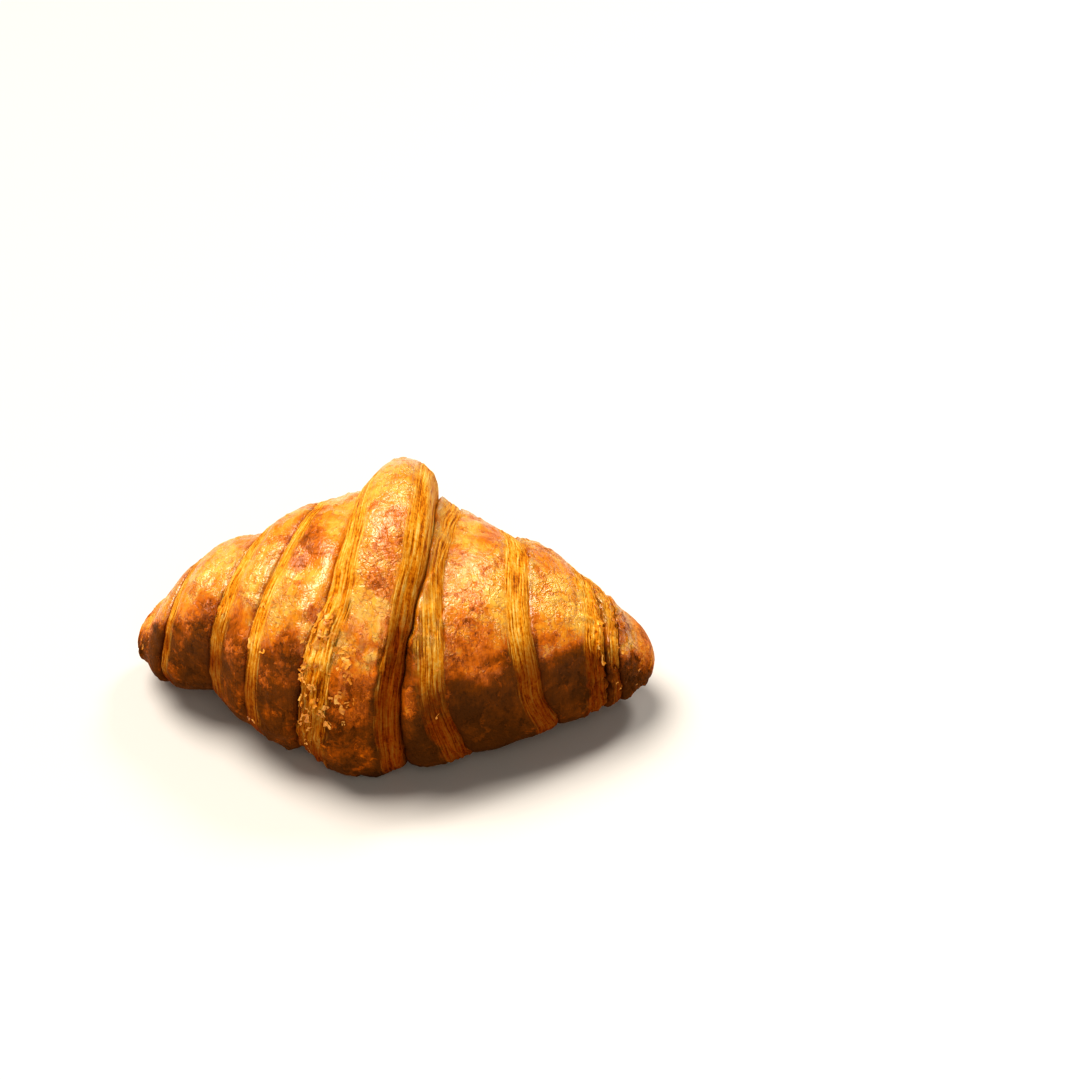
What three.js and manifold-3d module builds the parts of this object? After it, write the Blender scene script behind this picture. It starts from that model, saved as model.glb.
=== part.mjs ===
// A butter croissant: a long triangle of laminated dough, rolled up from its wide end and
// bent a little, so that each turn lies like a shingle over the turn next to it.
// Units are millimetres, +Z is up, +X runs from tip to tip and -Y is the full, convex side.
import * as THREE from 'three';
import * as BufferGeometryUtils from 'three/addons/utils/BufferGeometryUtils.js';
import Module from 'manifold-3d';

// ---- driving dimensions ----------------------------------------------------------------

// The roll's axis: an arc in plan that starts in the middle and sinks towards both tips.
const ARM = { left: 78.5, right: 62 };
const TIP_SINK = { left: 15, right: 12 };
const SINK_POWER = { left: 2.8, right: 2 };
const BEND_RADIUS = 160;
const AXIS_HEIGHT = 26;

// Half width and crown height of the section, measured from the axis:
// [mm from the middle, half width, crown height].
const GIRTH = [
  [-78.5, 7, 4.5], [-71, 11.5, 7.5], [-64, 17, 15.5], [-55, 20.5, 21.5], [-48, 22, 22.5],
  [-37, 29, 28.5], [-25, 35, 32], [-13, 39, 35.5], [-3, 39, 37], [3, 37.5, 36],
  [8, 35, 30.5], [21, 30, 26.5], [36, 22.5, 21], [49, 16.5, 14], [57, 10, 6.5], [62, 7, 5],
];
const FULL_WIDTH = 39;
// Depth of the belly under the axis, as a share of the half width: it sags less on the arms.
const BELLY = [[-78.5, 0.58], [-50, 0.58], [-25, 0.7], [40, 0.7], [62, 0.66]];
const CROWN_SQUARENESS = 2;
const BELLY_SQUARENESS = 2.8;
const TIP_ROUNDING = 6;

// Where the free end of the triangle lies, as an angle round the section: 0 is the front,
// 90 the crown, 180 the back. It is tucked under the belly.
const TONGUE_END = 250;

// The long edges of the triangle wind outwards from the tongue, one on each arm. Their
// place is given turn by turn: [turns from the tongue, mm from the middle].
const TURNS = { left: 4, right: 5 };
const EDGE = {
  left: [
    [0, 8.5], [0.19, 10.5], [0.44, 15.5], [0.53, 16.5], [0.64, 21.3], [0.86, 24.5],
    [1.19, 26], [1.44, 30], [1.64, 35.5], [1.86, 36.5],
    [2.19, 39], [2.44, 43.5], [2.64, 46.5], [2.86, 47.8],
    [3.19, 54], [3.44, 61], [3.64, 61.5], [3.86, 62], [4.2, 66],
  ],
  right: [
    [0, -0.5], [0.19, 2.5], [0.4, 5.2], [0.5, 4.4], [0.58, 2.2], [0.64, 0], [0.7, -0.8], [0.86, -0.8],
    [1.19, 7], [1.36, 11.5], [1.44, 9.4], [1.55, 7.2], [1.64, 7.4], [1.74, 11.5], [1.86, 15],
    [2.19, 23], [2.44, 28], [2.58, 26.5], [2.68, 28], [2.75, 31.5], [2.86, 34],
    [3.19, 40], [3.44, 46], [3.64, 44.2], [3.86, 46],
    [4.19, 48.5], [4.44, 50], [4.64, 48.5], [4.72, 49.5], [4.86, 51], [5.2, 55],
  ],
};

// How far the dough stands over the next turn towards the tip: [turns, mm].
const STEP = {
  left: [[0, 0], [0.1, 3.4], [0.8, 3.4], [1.2, 1.8], [2.5, 1.6], [3.6, 2.2], [4.15, 0]],
  right: [[0, 0], [0.1, 4], [0.75, 5], [1.2, 1.6], [1.6, 1.4], [2.5, 2], [3.6, 2.6],
    [4.4, 2.4], [5.15, 0]],
};
const LEVEL = 1.4;
const LIP = 3;
const SWELL = 0.45;

// The broad middle turn is domed and stands proud along the crown: mm, and degrees round the
// section.
const RIDGE = 7;
const RIDGE_ANGLE = 95;
const RIDGE_SPREAD = 75;
const DOME = 3;

// Uneven proving: shallow lumps over the whole crust, mm high and mm from one to the next.
const LUMP = 0.5;
const LUMP_PITCH = 23;

// Faceting: sections round the roll, and stations along the axis within each turn.
const SECTIONS = 44;
const MIDDLE_STATIONS = [0, 0.06, 0.16, 0.3, 0.5, 0.7, 0.84, 0.94];
const TURN_STATIONS = [0, 0.1, 0.28, 0.52, 0.76, 0.92];
const KNOB_STATIONS = [0, 0.25, 0.5, 0.72, 0.87, 0.96];

// The baking sheet irons the turns nearly smooth under the belly: degrees round the
// section, and the share of each step that is left there. The rows of facets, which follow
// the turns elsewhere, slip back by one turn in this stretch.
const IRONED = { from: 215, to: 290, left: 0.15 };

// ---- shape of the roll -----------------------------------------------------------------

const { sin, cos, abs, sqrt, min, max, PI } = Math;
const clamp = (x, low, high) => min(max(x, low), high);
const radians = (degrees) => degrees * PI / 180;

// A quarter circle rising from 0 at x = 0 to 1 at x = 1.
const quarter = (x) => sqrt(1 - (1 - clamp(x, 0, 1)) ** 2);

// Smooth curve through a table of [place, value] pairs that never overshoots them.
function curve(table) {
  const last = table.length - 1;
  const slope = [];
  for (let i = 0; i < last; i += 1) {
    slope.push((table[i + 1][1] - table[i][1]) / (table[i + 1][0] - table[i][0]));
  }
  const tangent = [slope[0]];
  for (let i = 1; i < last; i += 1) {
    const product = slope[i - 1] * slope[i];
    tangent.push(product > 0 ? 2 * product / (slope[i - 1] + slope[i]) : 0);
  }
  tangent.push(slope[last - 1]);
  return (x) => {
    const place = clamp(x, table[0][0], table[last][0]);
    let i = 0;
    while (i < last - 1 && place > table[i + 1][0]) {
      i += 1;
    }
    const width = table[i + 1][0] - table[i][0];
    const u = (place - table[i][0]) / width;
    const start = table[i][1] * (1 + 2 * u) * (1 - u) ** 2;
    const end = table[i + 1][1] * (3 - 2 * u) * u ** 2;
    return start + end + width * u * (1 - u) * (tangent[i] * (1 - u) - tangent[i + 1] * u);
  };
}

const halfWidth = curve(GIRTH.map((row) => [row[0], row[1]]));
const crownHeight = curve(GIRTH.map((row) => [row[0], row[2]]));
const belly = curve(BELLY);
const edge = { left: curve(EDGE.left), right: curve(EDGE.right) };
const step = { left: curve(STEP.left), right: curve(STEP.right) };

// Turns unrolled from the tongue's end, from 0 to 1, at an angle round the section.
const unrolled = (angle) => ((TONGUE_END - angle) / 360 + 2) % 1;

// The edge of a turn is a rounded lip, and the turn swells out of the crease behind it.
function lip(reach, width) {
  return 1 - quarter(reach / min(LIP, width / 2));
}
function swell(share) {
  return quarter(share / SWELL);
}

// Height of the crust over the mean girth: shingles that face the tips on both arms.
function shingle(along, angle) {
  const turns = unrolled(angle);
  const first = { left: edge.left(turns), right: edge.right(turns) };
  const side = along < (first.right - first.left) / 2 ? 'left' : 'right';
  const reach = side === 'left' ? -along : along;
  if (reach <= first[side]) {
    const swing = clamp((angle - RIDGE_ANGLE) * 90 / RIDGE_SPREAD, -90, 90);
    const width = first.left + first.right;
    const inside = first[side] - reach;
    const dome = quarter(DOME * (side === 'left' ? 1 : 2) * inside / width);
    const ridge = RIDGE * cos(radians(swing)) ** 2 * dome;
    return LEVEL + ridge - step[side](turns) * lip(inside, width);
  }
  let k = 1;
  while (k < TURNS[side] && reach > edge[side](k + turns)) {
    k += 1;
  }
  const behind = edge[side](k - 1 + turns);
  const ahead = edge[side](k + turns);
  const width = ahead - behind;
  const rise = step[side](k - 1 + turns) * (1 - swell((reach - behind) / width));
  if (reach > ahead) {
    return LEVEL - rise;
  }
  return LEVEL - rise - step[side](k + turns) * lip(ahead - reach, width);
}

// 1 over most of the roll, and the share left by the baking sheet under the belly.
function relief(angle) {
  const middle = (IRONED.from + IRONED.to) / 2;
  const away = abs(angle - middle) / (IRONED.to - IRONED.from);
  const share = clamp(2 * (away - 0.2), 0, 1);
  return IRONED.left + (1 - IRONED.left) * share ** 2 * (3 - 2 * share);
}

// Point of the crust at a place along the axis and an angle round the section.
function crust(along, angle) {
  const side = along < 0 ? 'left' : 'right';
  const t = radians(angle);
  const upper = sin(t) > 0;
  const a = halfWidth(along);
  const b = upper ? crownHeight(along) : belly(along) * a;
  const n = upper ? CROWN_SQUARENESS : BELLY_SQUARENESS;
  const mean = ((abs(cos(t)) / a) ** n + (abs(sin(t)) / b) ** n) ** (-1 / n);
  const turn = 2 * PI / LUMP_PITCH;
  const lump = LUMP * (sin(turn * along + 2 * t) + sin(0.7 * turn * along - 3 * t + 1));
  const cap = quarter((ARM[side] - abs(along)) / TIP_ROUNDING);
  const radius = (mean + shingle(along, angle) * relief(angle) + lump * a / FULL_WIDTH) * cap;
  const bend = along / BEND_RADIUS;
  const out = radius * cos(t);
  const sink = TIP_SINK[side] * (abs(along) / ARM[side]) ** SINK_POWER[side];
  return [
    BEND_RADIUS * sin(bend) + out * sin(bend),
    BEND_RADIUS * (1 - cos(bend)) - out * cos(bend),
    AXIS_HEIGHT - sink + radius * sin(t),
  ];
}

// ---- facets ----------------------------------------------------------------------------

// Places along the axis for one section, from the left tip to the right tip. They follow
// the edges of the turns, so that every crease is a row of facets.
function stations(turns) {
  const arm = (side) => {
    const places = [];
    for (let k = 1; k <= TURNS[side]; k += 1) {
      const behind = edge[side](k - 1 + turns);
      const ahead = edge[side](k + turns);
      places.push(...TURN_STATIONS.map((share) => behind + share * (ahead - behind)));
    }
    const knob = edge[side](TURNS[side] + turns);
    places.push(...KNOB_STATIONS.map((share) => knob + share * (ARM[side] - knob)));
    return places;
  };
  const start = -edge.left(turns);
  const width = edge.right(turns) - start;
  const middle = MIDDLE_STATIONS.slice(1).map((share) => start + share * width);
  return [...arm('left').reverse().map((place) => -place), ...middle, ...arm('right')];
}

const rows = [];
for (let j = 0; j < SECTIONS; j += 1) {
  const angle = 360 * j / SECTIONS;
  let turns = unrolled(angle);
  if (angle > IRONED.from && angle < IRONED.to) {
    const share = (angle - IRONED.from) / (IRONED.to - IRONED.from);
    turns = unrolled(IRONED.from) + share * (unrolled(IRONED.to) - unrolled(IRONED.from));
  }
  rows.push(stations(turns).map((along) => crust(along, angle)));
}

const COUNT = rows[0].length;
const points = [crust(-ARM.left, 0), crust(ARM.right, 0), ...rows.flat()];
const at = (j, i) => 2 + (j % SECTIONS) * COUNT + i;
const faces = [];
for (let j = 0; j < SECTIONS; j += 1) {
  faces.push([0, at(j, 0), at(j + 1, 0)]);
  for (let i = 0; i < COUNT - 1; i += 1) {
    faces.push([at(j, i), at(j, i + 1), at(j + 1, i)]);
    faces.push([at(j + 1, i), at(j, i + 1), at(j + 1, i + 1)]);
  }
  faces.push([1, at(j + 1, COUNT - 1), at(j, COUNT - 1)]);
}

// ---- the baked underside: everything below the baking sheet is cut away ------------------

const wasm = await Module();
wasm.setup();
const roll = new wasm.Manifold(new wasm.Mesh({
  numProp: 3,
  vertProperties: new Float32Array(points.flat()),
  triVerts: new Uint32Array(faces.flat()),
}));
const REACH = 200;
const sheet = wasm.Manifold.cube([REACH, REACH, REACH], true).translate([0, 0, -REACH / 2]);
const baked = roll.subtract(sheet).getMesh();

let geometry = new THREE.BufferGeometry();
geometry.setAttribute('position', new THREE.BufferAttribute(baked.vertProperties, 3));
geometry.setIndex(new THREE.BufferAttribute(baked.triVerts, 1));
geometry = BufferGeometryUtils.mergeVertices(geometry);

// The frame's origin is under the middle of the whole croissant.
geometry.computeBoundingBox();
const middle = geometry.boundingBox.getCenter(new THREE.Vector3());
geometry.translate(-middle.x, -middle.y, 0);
geometry.computeVertexNormals();

const crustColour = new THREE.MeshStandardMaterial({
  color: 0xc9822e,
  roughness: 0.42,
  metalness: 0,
});
const croissant = new THREE.Mesh(geometry, crustColour);
croissant.name = 'croissant';

const group = new THREE.Group();
group.name = 'butter_croissant';
group.add(croissant);

export default group;
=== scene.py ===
# %% [markdown]
# # A butter croissant
#
# A croissant starts as a long triangle of laminated dough: some two dozen sheets of butter
# and dough folded over each other. The triangle is rolled up from its wide end, so its two
# long cut edges wind out from the middle like the threads of two screws, one to each tip.
# In the oven the sheets part and puff. What is seen afterwards is a row of swollen turns,
# each lying like a shingle over the next one towards the tip. Every turn ends in its cut
# edge, where the sheets show as fine golden lines, and between the edges the egg wash has
# baked to a brown, wrinkled, glossy skin.
#
# This lesson makes that one baked piece, its crust and a few loose flakes.

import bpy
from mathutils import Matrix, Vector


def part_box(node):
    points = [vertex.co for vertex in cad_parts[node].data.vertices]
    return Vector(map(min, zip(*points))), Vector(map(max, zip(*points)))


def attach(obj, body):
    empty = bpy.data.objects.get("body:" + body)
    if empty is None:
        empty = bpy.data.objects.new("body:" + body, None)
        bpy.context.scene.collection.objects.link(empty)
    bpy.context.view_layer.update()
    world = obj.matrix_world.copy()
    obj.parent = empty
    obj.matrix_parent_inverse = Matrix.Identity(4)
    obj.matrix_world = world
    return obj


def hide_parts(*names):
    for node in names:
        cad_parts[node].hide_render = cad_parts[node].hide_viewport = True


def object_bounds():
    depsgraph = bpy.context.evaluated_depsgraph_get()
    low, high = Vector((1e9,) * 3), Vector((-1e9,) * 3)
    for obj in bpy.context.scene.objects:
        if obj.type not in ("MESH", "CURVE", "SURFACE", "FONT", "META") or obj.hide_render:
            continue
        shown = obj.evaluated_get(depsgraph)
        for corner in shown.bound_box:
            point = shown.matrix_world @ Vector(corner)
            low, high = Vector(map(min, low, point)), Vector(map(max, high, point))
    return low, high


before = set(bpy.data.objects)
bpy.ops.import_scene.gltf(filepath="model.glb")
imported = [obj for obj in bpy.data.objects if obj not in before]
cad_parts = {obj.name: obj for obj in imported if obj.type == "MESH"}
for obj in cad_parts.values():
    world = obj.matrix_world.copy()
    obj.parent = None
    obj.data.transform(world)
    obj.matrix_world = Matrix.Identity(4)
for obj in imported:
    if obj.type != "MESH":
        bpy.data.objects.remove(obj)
cad_low, cad_high = [list(corner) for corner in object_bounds()]

import math

import bpy
import numpy as np

MM = 0.001
cad_size = [round((high - low) / MM, 1) for low, high in zip(cad_low, cad_high)]
print("the frame's croissant measures", cad_size, "mm")

# %% [markdown]
# ## The measures of the roll
#
# All sizes are in millimetres. The roll's axis is an arc in plan that sinks a little
# towards both tips. Places along it are counted from the middle, with the left arm
# negative. Places round the section are angles: 0 is the full front, 90 the crown, 180 the
# back and 270 the belly.
#
# The cut edges are given turn by turn from the free end of the triangle, the tongue, which
# is tucked under the belly. One number per quarter turn is enough, because a smooth curve
# goes through them.

# %% Measures
ARM = {"left": 78.5, "right": 62.0}
TIP_SINK = {"left": 15.0, "right": 12.0}  # how far the axis has sunk at the tips
SINK_POWER = {"left": 2.8, "right": 2.0}  # the higher, the later it sinks
SIGN = {"left": -1, "right": 1}
BEND_RADIUS = 160.0  # of the axis in plan
AXIS_HEIGHT = 26.0  # over the baking sheet
GIRTH = [  # mm from the middle, half width, crown height over the axis
    (-78.5, 7, 4.5), (-71, 11.5, 7.5), (-64, 17, 15.5), (-55, 20.5, 21.5), (-48, 22, 22.5),
    (-37, 29, 28.5), (-25, 35, 32), (-13, 39, 35.5), (-3, 39, 37), (3, 37.5, 36),
    (8, 35, 30.5), (21, 30, 26.5), (36, 22.5, 21), (49, 16.5, 14), (57, 10, 6.5), (62, 7, 5),
]
FULL_WIDTH = 39.0  # the half width at its widest
# Depth of the belly, as a share of the half width.
BELLY = [(-78.5, 0.58), (-50, 0.58), (-25, 0.7), (40, 0.7), (62, 0.66)]
CROWN_SQUARENESS, BELLY_SQUARENESS = 2.0, 2.8  # 2 is an ellipse
TIP_ROUNDING = 6.0
print("arms:", ARM, "mm; widest", 2 * FULL_WIDTH, "mm")

# %% Measures of the cut edges, by turns from the tongue
TONGUE_END = 250.0  # degrees round the section
TURNS = {"left": 4, "right": 5}
# Where the edge lies, in mm from the middle.
EDGE = {
    "left": [
        (0, 8.5), (0.19, 10.5), (0.44, 15.5), (0.53, 16.5), (0.64, 21.3), (0.86, 24.5),
        (1.19, 26), (1.44, 30), (1.64, 35.5), (1.86, 36.5),
        (2.19, 39), (2.44, 43.5), (2.64, 46.5), (2.86, 47.8),
        (3.19, 54), (3.44, 61), (3.64, 61.5), (3.86, 62), (4.2, 66),
    ],
    "right": [
        (0, -0.5), (0.19, 2.5), (0.4, 5.2), (0.5, 4.4), (0.58, 2.2), (0.64, 0), (0.7, -0.8),
        (0.86, -0.8),
        (1.19, 7), (1.36, 11.5), (1.44, 9.4), (1.55, 7.2), (1.64, 7.4), (1.74, 11.5), (1.86, 15),
        (2.19, 23), (2.44, 28), (2.58, 26.5), (2.68, 28), (2.75, 31.5), (2.86, 34),
        (3.19, 40), (3.44, 46), (3.64, 44.2), (3.86, 46),
        (4.19, 48.5), (4.44, 50), (4.64, 48.5), (4.72, 49.5), (4.86, 51), (5.2, 55),
    ],
}
# How far the crust steps down there, in mm.
STEP = {
    "left": [(0, 0), (0.1, 3.4), (0.8, 3.4), (1.2, 1.8), (2.5, 1.6), (3.6, 2.2), (4.15, 0)],
    "right": [(0, 0), (0.1, 4), (0.75, 5), (1.2, 1.6), (1.6, 1.4), (2.5, 2), (3.6, 2.6),
              (4.4, 2.4), (5.15, 0)],
}
# Width of its face, where the sheets of dough show, in mm.
FACE = {
    "left": [(0, 3), (0.4, 5.5), (0.7, 6.5), (1.2, 3.5), (2.2, 4), (2.5, 5), (3.5, 3.2), (4.2, 3)],
    "right": [(0, 3), (0.4, 4.5), (0.7, 4.8), (1, 4), (1.3, 6), (1.55, 6.5), (1.75, 5), (2.4, 6),
              (2.8, 5), (3.4, 5.5), (4.4, 4), (5.2, 3)],
}
# How torn and crumbly it is, in mm.
TORN = {
    "left": [(0, 0.2), (0.5, 0.25), (0.58, 0.8), (0.78, 0.95), (0.95, 0.25), (1.5, 0.25),
             (2.7, 0.4), (4.2, 0.3)],
    "right": [(0, 0.2), (1.35, 0.2), (1.5, 0.6), (1.9, 0.55), (2.1, 0.25), (2.5, 0.45),
              (2.9, 0.3), (3.3, 0.3), (3.55, 0.6), (3.95, 0.6), (4.3, 0.4), (5.2, 0.3)],
}
print("turns on each arm:", TURNS)

# %% Measures of a turn's own shape
LEVEL = 1.4  # mm that a turn stands over the mean girth
LIP = 2.6  # mm over which its edge rounds off
SWELL = 0.45  # share of its width over which it swells out of the crease
RIDGE, RIDGE_ANGLE, RIDGE_SPREAD = 7.0, 95.0, 75.0  # the middle turn's: mm, degrees, degrees
DOME = 3.0  # how steeply the ridge rises at its sides
# Degrees between which the baking sheet irons the turns away, and the share that is left.
IRONED_FROM, IRONED_TO, IRONED_LEFT = 215.0, 290.0, 0.15
print("the ridge stands", RIDGE, "mm over the middle turn")

# %% [markdown]
# ## Small tools for curves and unevenness
#
# `curve` draws a smooth line through a short table and never overshoots it, as a batten
# laid along pegs would. `quarter` is a quarter circle, the section of every swollen turn
# and rounded lip. `grain` is smooth seeded unevenness: a number for every place, changing
# over a distance of one unit, so a place divided by 8 mm gives lumps 8 mm apart.

# %% Curves
def curve(table):
    """A smooth function through (place, value) pairs, without overshoot."""
    x, y = np.array(table, float).T
    slope = np.diff(y) / np.diff(x)
    product = slope[:-1] * slope[1:]
    total = np.where(product > 0, slope[:-1] + slope[1:], 1)
    inner = np.where(product > 0, 2 * product / total, 0)
    tangent = np.concatenate([slope[:1], inner, slope[-1:]])

    def value(place):
        place = np.clip(place, x[0], x[-1])
        i = np.clip(np.searchsorted(x, place, side="left") - 1, 0, len(x) - 2)
        width = x[i + 1] - x[i]
        u = (place - x[i]) / width
        start = y[i] * (1 + 2 * u) * (1 - u) ** 2
        end = y[i + 1] * (3 - 2 * u) * u**2
        return start + end + width * u * (1 - u) * (tangent[i] * (1 - u) - tangent[i + 1] * u)

    return value


def quarter(x):
    """A quarter circle that rises from 0 at x = 0 to 1 at x = 1."""
    return np.sqrt(1 - (1 - np.clip(x, 0, 1)) ** 2)


def smooth(x):
    """An even rise from 0 at x = 0 to 1 at x = 1."""
    x = np.clip(x, 0, 1)
    return x * x * (3 - 2 * x)


# %% Unevenness
SCATTER = 374761393, 668265263, 1274126177  # large odd numbers that scramble a corner's place


def grain(x, y, seed):
    """Smooth unevenness from -1 to 1 that changes over about one unit of x or y."""
    x, y = np.broadcast_arrays(np.asarray(x, float), np.asarray(y, float))
    column, row = np.floor(x).astype(np.int64), np.floor(y).astype(np.int64)
    u, v = smooth(x - column), smooth(y - row)

    def corner(across, along):
        n = (column + across) * SCATTER[0] + (row + along) * SCATTER[1] + seed * SCATTER[2]
        n = ((n ^ (n >> 13)) * SCATTER[2]) & 0xFFFFFFFF
        n = (n ^ (n >> 16)) & 0xFFFFFF
        return n / 0x7FFFFF - 1

    low = corner(0, 0) * (1 - u) + corner(1, 0) * u
    high = corner(0, 1) * (1 - u) + corner(1, 1) * u
    return low * (1 - v) + high * v


def rough(x, y, seed, octaves=3):
    """Several layers of grain, each twice as fine and half as strong."""
    apart = 7.3  # keeps the layers' corners off each other
    layers = [grain(x * 2**i + apart * i, y * 2**i, seed + i) / 2**i for i in range(octaves)]
    return sum(layers)


print("a grain sample:", np.round(grain(np.arange(5) * 0.4, 0.5, 1), 2))

# %% [markdown]
# ## Shaping the roll
#
# The piece starts as a ball whose rings run round the roll and whose poles are the tips.
# Each point of the ball stands for one place along the axis and one angle round it. The
# rings are shifted along the axis so that they follow the cut edges: every crease and
# every lip then lies exactly on a row of faces, however fine it is. Under the belly, where
# the baking sheet irons the turns away, the rings slip back by one turn.
#
# It could be carved with sculpting brushes instead, but the two screw-like edges have to
# run true from the tongue to the tips, and that is easier to say than to carve.

# %% The ball, with its poles at the tips
SECTIONS = 200
TURN_RINGS = {"left": 45, "right": 38}
MIDDLE_RINGS = 73
KNOB_RINGS = {"left": 30, "right": 26}
RINGS = sum(TURNS[s] * TURN_RINGS[s] + KNOB_RINGS[s] for s in ARM) + MIDDLE_RINGS

bpy.ops.object.select_all(action="DESELECT")
bpy.ops.mesh.primitive_uv_sphere_add(segments=SECTIONS, ring_count=RINGS + 1, radius=1)
croissant = bpy.context.object
croissant.name = "baked_croissant"
mesh = croissant.data
ball = np.empty(len(mesh.vertices) * 3)
mesh.vertices.foreach_get("co", ball)
ball = ball.reshape(-1, 3)
ring = np.rint(np.arccos(np.clip(-ball[:, 2], -1, 1)) / math.pi * (RINGS + 1)).astype(int)
section = np.arctan2(ball[:, 1], ball[:, 0]) / (2 * math.pi) * SECTIONS
section = np.rint(section).astype(int) % SECTIONS
print("the ball has", len(ball), "points on", RINGS, "rings of", SECTIONS)

# %% Places along the axis
half_width = curve([(row[0], row[1]) for row in GIRTH])
crown_height = curve([(row[0], row[2]) for row in GIRTH])
belly = curve(BELLY)
edge_line = {side: curve(EDGE[side]) for side in ARM}
step = {side: curve(STEP[side]) for side in ARM}
face = {side: curve(FACE[side]) for side in ARM}
torn = {side: curve(TORN[side]) for side in ARM}
WOUND = 2 * math.pi * 27  # mm of edge in one turn


def edge(side, turns, tear=1.0):
    """Place of a cut edge, with the small wander of a hand-cut edge and its tears."""
    far = turns * WOUND
    seed = {"left": 10, "right": 20}[side]
    wander = 0.6 * grain(far / 21, 0, seed) + 0.3 * grain(far / 6, 0, seed + 1)
    bits = grain(far / 1.9, 0, seed + 2) + 0.6 * grain(far / 4.3, 0, seed + 4)
    ragged = torn[side](turns) * bits * (0.4 + 0.6 * smooth(3 * grain(far / 17, 0, seed + 3)))
    return edge_line[side](turns) + (wander + tear * ragged) * smooth(turns / 0.3)


def unrolled(angle):
    """Turns from the tongue's end, from 0 to 1, at an angle round the section."""
    return ((TONGUE_END - angle) / 360 + 2) % 1


angles = 360 * np.arange(SECTIONS) / SECTIONS
slipped = unrolled(angles)
share = (angles - IRONED_FROM) / (IRONED_TO - IRONED_FROM)
slip = unrolled(IRONED_FROM) + share * (unrolled(IRONED_TO) - unrolled(IRONED_FROM))
slipped = np.where((share > 0) & (share < 1), slip, slipped)[:, None]
print("one turn has", round(WOUND), "mm of edge")

# %% The rings' places
# How the rings are shared out over a turn: closer together where the crust falls away.
ARM_SHARES = curve([(0, 0), (0.06, 0.04), (0.4, 0.55), (1, 1)])
MIDDLE_SHARES = curve([(0, 0), (0.38, 0.27), (0.66, 0.75), (1, 1)])


def stations(side):
    """Places along one arm for every section, from the middle outwards."""
    rings = TURN_RINGS[side]
    even = np.arange(rings) / rings
    shares = ARM_SHARES(even)
    parts = []
    for k in range(1, TURNS[side] + 1):
        behind, ahead = edge(side, k - 1 + slipped), edge(side, k + slipped)
        parts.append(behind + shares * (ahead - behind))
    knob = edge(side, TURNS[side] + slipped)
    shares = np.sin(np.arange(KNOB_RINGS[side]) / KNOB_RINGS[side] * math.pi / 2)
    parts.append(knob + shares * (ARM[side] - knob))
    return np.concatenate(parts, axis=1) * SIGN[side]


start, end = -edge("left", slipped), edge("right", slipped)
even = np.arange(1, MIDDLE_RINGS + 1) / (MIDDLE_RINGS + 1)
shares = MIDDLE_SHARES(even)
middle = start + shares * (end - start)
along = np.concatenate([stations("left")[:, ::-1], middle, stations("right")], axis=1)
print("places along the axis:", along.shape, "closest rings",
      round(float(np.diff(along, axis=1).min()), 3), "mm")

# %% [markdown]
# ## The section of a turn
#
# A turn swells out of the crease behind it, runs level, slopes down over the face of its
# cut edge and ends in a rounded lip that leans a little over the next crease. The sheets
# of dough show on that face as ridges a millimetre or so apart that run along the edge,
# join and part again. The skin between the edges is lumpy where the dough rose unevenly,
# with small blisters where steam lifted the top sheet.

# %% Lips, slopes and sheets
LINE_PITCH = 0.85  # mm between two sheets on the cut face
FACE_SHARE = 0.34  # how much of a step is the slope of the cut face
OVERHANG = 0.15  # share of a step by which a lip leans over


def fall(reach, drop, width, across):
    """How far the crust has fallen, at a distance from the turn's edge."""
    lip = 1 - quarter(reach / np.minimum(LIP, across / 2))
    slope = smooth(1 - reach / np.minimum(1.5 * width, across * 0.9)) ** 1.3
    return drop * (FACE_SHARE * slope + (1 - FACE_SHARE) * lip)


def lean(reach, drop):
    """How far the lip leans over the crease, at a distance from the turn's edge."""
    return OVERHANG * drop * np.sin(math.pi * np.clip(reach / LIP, 0, 1))


def sheets(reach, far, seed):
    """The ends of the dough sheets, from -1 to 1: each is a small cliff facing the edge."""
    bent = reach / LINE_PITCH + 0.9 * grain(far / 19, reach / 4, seed)
    bent = bent + 0.25 * grain(far / 5, reach / 1.6, seed + 1)
    sheet = np.floor(bent)
    across = bent - sheet
    cliff = np.where(across < 0.2, smooth(across / 0.2), 1 - (across - 0.2) / 0.8)
    own = 0.5 + 0.75 * grain(sheet * 1.37 + 0.5, far / 6, seed + 2)
    return np.clip((2 * cliff - 1) * own, -1, 1)


print("a 3 mm step, 0 to 4 mm from its edge:", fall(np.arange(5.0), 3, 4, 12).round(2))

# %% One arm
CREASE_FADE = 0.9  # mm over which the painted shade of a crease fades
RIGHT_ROWS = 40  # added to the turns' numbers on the right, so that no two look alike


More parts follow.
